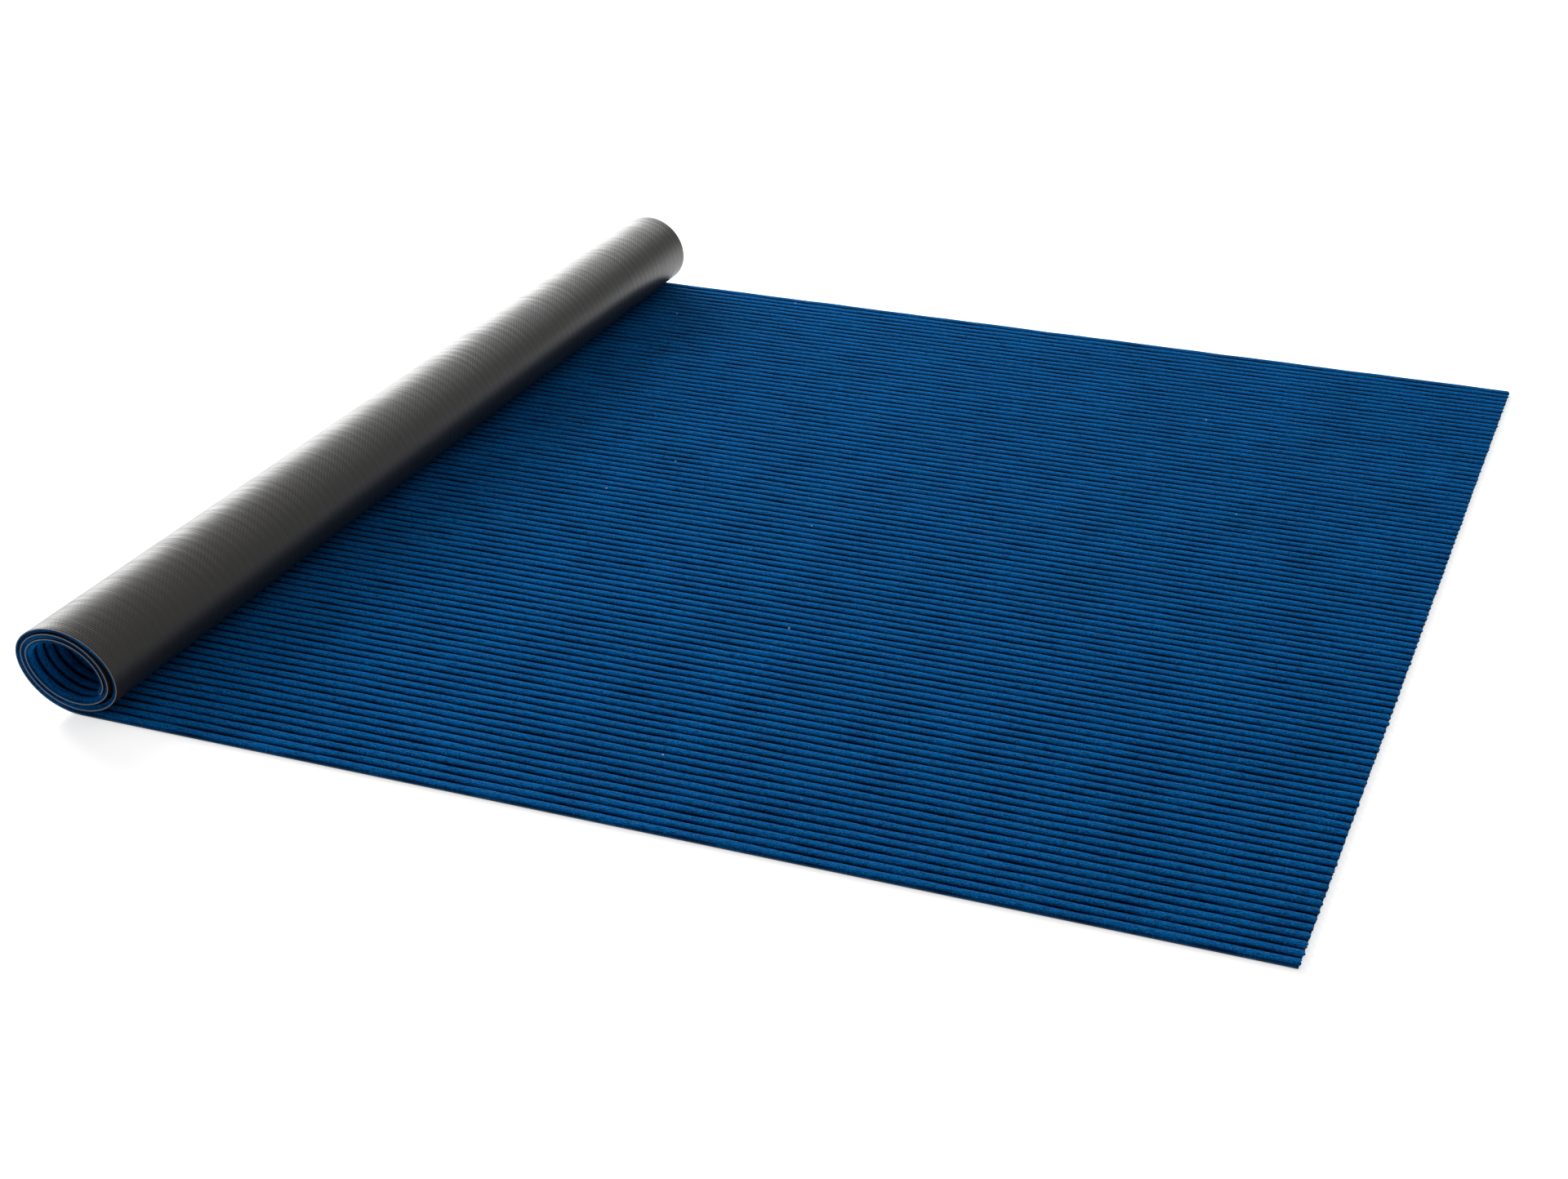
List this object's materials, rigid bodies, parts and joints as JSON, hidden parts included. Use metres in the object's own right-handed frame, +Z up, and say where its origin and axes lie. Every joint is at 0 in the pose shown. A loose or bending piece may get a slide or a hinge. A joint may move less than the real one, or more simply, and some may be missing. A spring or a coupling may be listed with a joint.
{
  "type": "ribbed mat",
  "caption": "Rectangular ribbed needle-felt mat with a thin vinyl backing, lying pile up and partly rolled up from one end with the pile inside.",
  "frame": {"origin": "centre of the bounding box in plan, on the floor under the mat", "axes": "+X along the sheet from the roll to the cut end, +Y across the sheet, +Z up out of the pile"},
  "size_m": [0.8164, 0.9, 0.0629],
  "materials": {
    "felt": "blue ribbed needle-punched felt",
    "backing": "satin charcoal vinyl, finely embossed"
  },
  "bodies": {
    "flat_run": {"backing_flat": "backing", "felt_flat": "felt"},
    "strip_01": {"backing_roll_01": "backing", "felt_roll_01": "felt"},
    "strip_02": {"backing_roll_02": "backing", "felt_roll_02": "felt"},
    "strip_03": {"backing_roll_03": "backing", "felt_roll_03": "felt"},
    "strip_04": {"backing_roll_04": "backing", "felt_roll_04": "felt"},
    "strip_05": {"backing_roll_05": "backing", "felt_roll_05": "felt"},
    "strip_06": {"backing_roll_06": "backing", "felt_roll_06": "felt"},
    "strip_07": {"backing_roll_07": "backing", "felt_roll_07": "felt"},
    "strip_08": {"backing_roll_08": "backing", "felt_roll_08": "felt"},
    "strip_09": {"backing_roll_09": "backing", "felt_roll_09": "felt"},
    "strip_10": {"backing_roll_10": "backing", "felt_roll_10": "felt"},
    "strip_11": {"backing_roll_11": "backing", "felt_roll_11": "felt"},
    "strip_12": {"backing_roll_12": "backing", "felt_roll_12": "felt"},
    "strip_13": {"backing_roll_13": "backing", "felt_roll_13": "felt"},
    "strip_14": {"backing_roll_14": "backing", "felt_roll_14": "felt"},
    "strip_15": {"backing_roll_15": "backing", "felt_roll_15": "felt"},
    "strip_16": {"backing_roll_16": "backing", "felt_roll_16": "felt"},
    "strip_17": {"backing_roll_17": "backing", "felt_roll_17": "felt"},
    "strip_18": {"backing_roll_18": "backing", "felt_roll_18": "felt"},
    "strip_19": {"backing_roll_19": "backing", "felt_roll_19": "felt"},
    "strip_20": {"backing_roll_20": "backing", "felt_roll_20": "felt"},
    "strip_21": {"backing_roll_21": "backing", "felt_roll_21": "felt"},
    "strip_22": {"backing_roll_22": "backing", "felt_roll_22": "felt"},
    "strip_23": {"backing_roll_23": "backing", "felt_roll_23": "felt"}
  },
  "joints": [
    {"name": "unroll", "type": "hinge", "parent": "flat_run", "child": "strip_01", "pos_m": [-0.37077, 0, 0], "axis": [0, -1, 0], "range_deg": [0, 22.5]},
    {"name": "unroll_02", "type": "hinge", "parent": "strip_01", "child": "strip_02", "pos_m": [-0.39879, 0, 0.01161], "axis": [0, -1, 0], "range_deg": [0, 45]},
    {"name": "unroll_03", "type": "hinge", "parent": "strip_02", "child": "strip_03", "pos_m": [-0.40823, 0, 0.03438], "axis": [0, -1, 0], "range_deg": [0, 45]},
    {"name": "unroll_04", "type": "hinge", "parent": "strip_03", "child": "strip_04", "pos_m": [-0.40042, 0, 0.05324], "axis": [0, -1, 0], "range_deg": [0, 45]},
    {"name": "unroll_05", "type": "hinge", "parent": "strip_04", "child": "strip_05", "pos_m": [-0.37709, 0, 0.06291], "axis": [0, -1, 0], "range_deg": [0, 45]},
    {"name": "unroll_06", "type": "hinge", "parent": "strip_05", "child": "strip_06", "pos_m": [-0.35062, 0, 0.05194], "axis": [0, -1, 0], "range_deg": [0, 45]},
    {"name": "unroll_07", "type": "hinge", "parent": "strip_06", "child": "strip_07", "pos_m": [-0.34183, 0, 0.03072], "axis": [0, -1, 0], "range_deg": [0, 45]},
    {"name": "unroll_08", "type": "hinge", "parent": "strip_07", "child": "strip_08", "pos_m": [-0.349, 0, 0.01342], "axis": [0, -1, 0], "range_deg": [0, 45]},
    {"name": "unroll_09", "type": "hinge", "parent": "strip_08", "child": "strip_09", "pos_m": [-0.37077, 0, 0.0044], "axis": [0, -1, 0], "range_deg": [0, 45]},
    {"name": "unroll_10", "type": "hinge", "parent": "strip_09", "child": "strip_10", "pos_m": [-0.39568, 0, 0.01472], "axis": [0, -1, 0], "range_deg": [0, 45]},
    {"name": "unroll_11", "type": "hinge", "parent": "strip_10", "child": "strip_11", "pos_m": [-0.40383, 0, 0.03438], "axis": [0, -1, 0], "range_deg": [0, 45]},
    {"name": "unroll_12", "type": "hinge", "parent": "strip_11", "child": "strip_12", "pos_m": [-0.3973, 0, 0.05013], "axis": [0, -1, 0], "range_deg": [0, 45]},
    {"name": "unroll_13", "type": "hinge", "parent": "strip_12", "child": "strip_13", "pos_m": [-0.37709, 0, 0.05851], "axis": [0, -1, 0], "range_deg": [0, 45]},
    {"name": "unroll_14", "type": "hinge", "parent": "strip_13", "child": "strip_14", "pos_m": [-0.35374, 0, 0.04883], "axis": [0, -1, 0], "range_deg": [0, 45]},
    {"name": "unroll_15", "type": "hinge", "parent": "strip_14", "child": "strip_15", "pos_m": [-0.34623, 0, 0.03072], "axis": [0, -1, 0], "range_deg": [0, 45]},
    {"name": "unroll_16", "type": "hinge", "parent": "strip_15", "child": "strip_16", "pos_m": [-0.35211, 0, 0.01653], "axis": [0, -1, 0], "range_deg": [0, 45]},
    {"name": "unroll_17", "type": "hinge", "parent": "strip_16", "child": "strip_17", "pos_m": [-0.37077, 0, 0.0088], "axis": [0, -1, 0], "range_deg": [0, 45]},
    {"name": "unroll_18", "type": "hinge", "parent": "strip_17", "child": "strip_18", "pos_m": [-0.39257, 0, 0.01783], "axis": [0, -1, 0], "range_deg": [0, 45]},
    {"name": "unroll_19", "type": "hinge", "parent": "strip_18", "child": "strip_19", "pos_m": [-0.39943, 0, 0.03438], "axis": [0, -1, 0], "range_deg": [0, 45]},
    {"name": "unroll_20", "type": "hinge", "parent": "strip_19", "child": "strip_20", "pos_m": [-0.39419, 0, 0.04702], "axis": [0, -1, 0], "range_deg": [0, 45]},
    {"name": "unroll_21", "type": "hinge", "parent": "strip_20", "child": "strip_21", "pos_m": [-0.37709, 0, 0.05411], "axis": [0, -1, 0], "range_deg": [0, 45]},
    {"name": "unroll_22", "type": "hinge", "parent": "strip_21", "child": "strip_22", "pos_m": [-0.35685, 0, 0.04572], "axis": [0, -1, 0], "range_deg": [0, 45]},
    {"name": "unroll_23", "type": "hinge", "parent": "strip_22", "child": "strip_23", "pos_m": [-0.35063, 0, 0.03072], "axis": [0, -1, 0], "range_deg": [0, 45]}
  ],
  "couplings": [
    {"joint": "unroll_02", "follows": "unroll", "ratio": 2},
    {"joint": "unroll_03", "follows": "unroll", "ratio": 2},
    {"joint": "unroll_04", "follows": "unroll", "ratio": 2},
    {"joint": "unroll_05", "follows": "unroll", "ratio": 2},
    {"joint": "unroll_06", "follows": "unroll", "ratio": 2},
    {"joint": "unroll_07", "follows": "unroll", "ratio": 2},
    {"joint": "unroll_08", "follows": "unroll", "ratio": 2},
    {"joint": "unroll_09", "follows": "unroll", "ratio": 2},
    {"joint": "unroll_10", "follows": "unroll", "ratio": 2},
    {"joint": "unroll_11", "follows": "unroll", "ratio": 2},
    {"joint": "unroll_12", "follows": "unroll", "ratio": 2},
    {"joint": "unroll_13", "follows": "unroll", "ratio": 2},
    {"joint": "unroll_14", "follows": "unroll", "ratio": 2},
    {"joint": "unroll_15", "follows": "unroll", "ratio": 2},
    {"joint": "unroll_16", "follows": "unroll", "ratio": 2},
    {"joint": "unroll_17", "follows": "unroll", "ratio": 2},
    {"joint": "unroll_18", "follows": "unroll", "ratio": 2},
    {"joint": "unroll_19", "follows": "unroll", "ratio": 2},
    {"joint": "unroll_20", "follows": "unroll", "ratio": 2},
    {"joint": "unroll_21", "follows": "unroll", "ratio": 2},
    {"joint": "unroll_22", "follows": "unroll", "ratio": 2},
    {"joint": "unroll_23", "follows": "unroll", "ratio": 2}
  ]
}
